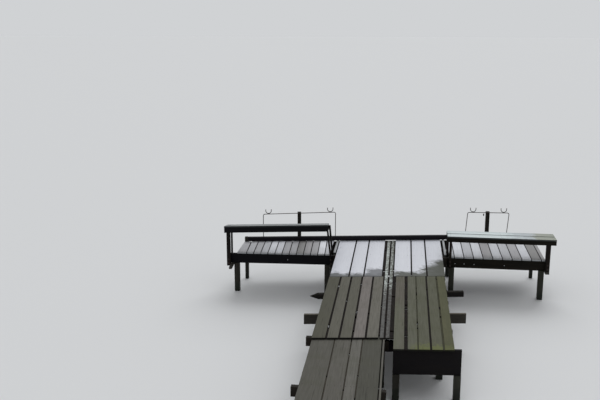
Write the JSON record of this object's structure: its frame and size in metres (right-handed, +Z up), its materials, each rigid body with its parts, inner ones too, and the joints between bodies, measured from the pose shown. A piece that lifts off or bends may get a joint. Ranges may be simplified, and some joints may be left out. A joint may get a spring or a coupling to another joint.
{
  "type": "wooden fishing jetty",
  "caption": "T-shaped timber jetty with a split deck, slatted side wings with benches and rod rests, square piles and a plank gangway.",
  "frame": {"origin": "under the middle of the whole jetty's box, at the level of the piles' feet", "axes": "+Z up, +Y out along the jetty towards the water, +X to the right when looking out over the water"},
  "size_m": [5.5198, 9.0902, 1.3037],
  "materials": {
    "silver_boards": "wet weathered board, smooth sheen",
    "grey_boards": "weathered grey board, rough",
    "pale_laths": "pale bleached lath",
    "frame_timber": "dark damp timber",
    "log_wood": "barked log, rough",
    "cap_wood": "weathered plank",
    "pile_timber": "damp square timber",
    "kerb_timber": "dark tarred timber",
    "wing_slats": "bleached slat",
    "dark_timber": "dark damp timber",
    "rail_timber": "weathered timber",
    "left_seat_wood": "weathered seat board",
    "right_seat_wood": "pale wet seat board",
    "post_timber": "dark square post",
    "rod_steel": "rusted round rod",
    "gangway_wood": "weathered grey plank"
  },
  "bodies": {
    "root": {"left_head_boards": "silver_boards", "right_head_boards": "silver_boards", "left_edge_board": "grey_boards", "right_edge_board": "grey_boards", "left_deck_boards": "grey_boards", "right_deck_boards": "grey_boards", "centre_laths": "pale_laths", "deck_cleats": "frame_timber", "head_stringers": "frame_timber", "deck_stringers": "frame_timber", "mid_bearer": "frame_timber", "log_cap": "log_wood", "plank_cap": "cap_wood", "near_caps": "frame_timber", "deck_piles": "pile_timber", "left_far_beam": "frame_timber", "right_far_beam": "frame_timber", "left_kerb": "kerb_timber", "right_kerb": "kerb_timber", "left_wing_slats": "wing_slats", "right_wing_slats": "wing_slats", "left_fascia": "dark_timber", "right_fascia": "dark_timber", "left_foot_rail": "rail_timber", "right_foot_rail": "rail_timber", "left_wing_piles": "pile_timber", "right_wing_piles": "pile_timber", "left_seat": "left_seat_wood", "left_seat_aprons": "dark_timber", "left_bench_legs": "dark_timber", "right_seat": "right_seat_wood", "right_seat_aprons": "dark_timber", "right_bench_legs": "dark_timber", "left_rest_post": "post_timber", "left_rest_bar": "rod_steel", "left_rest_legs": "rod_steel", "left_rest_cradles": "rod_steel", "right_rest_post": "post_timber", "right_rest_bar": "rod_steel", "right_rest_legs": "rod_steel", "right_rest_cradles": "rod_steel", "gangway_boards": "gangway_wood", "gangway_side_strip": "gangway_wood", "gangway_caps": "frame_timber", "gangway_piles": "pile_timber"}
  },
  "joints": []
}
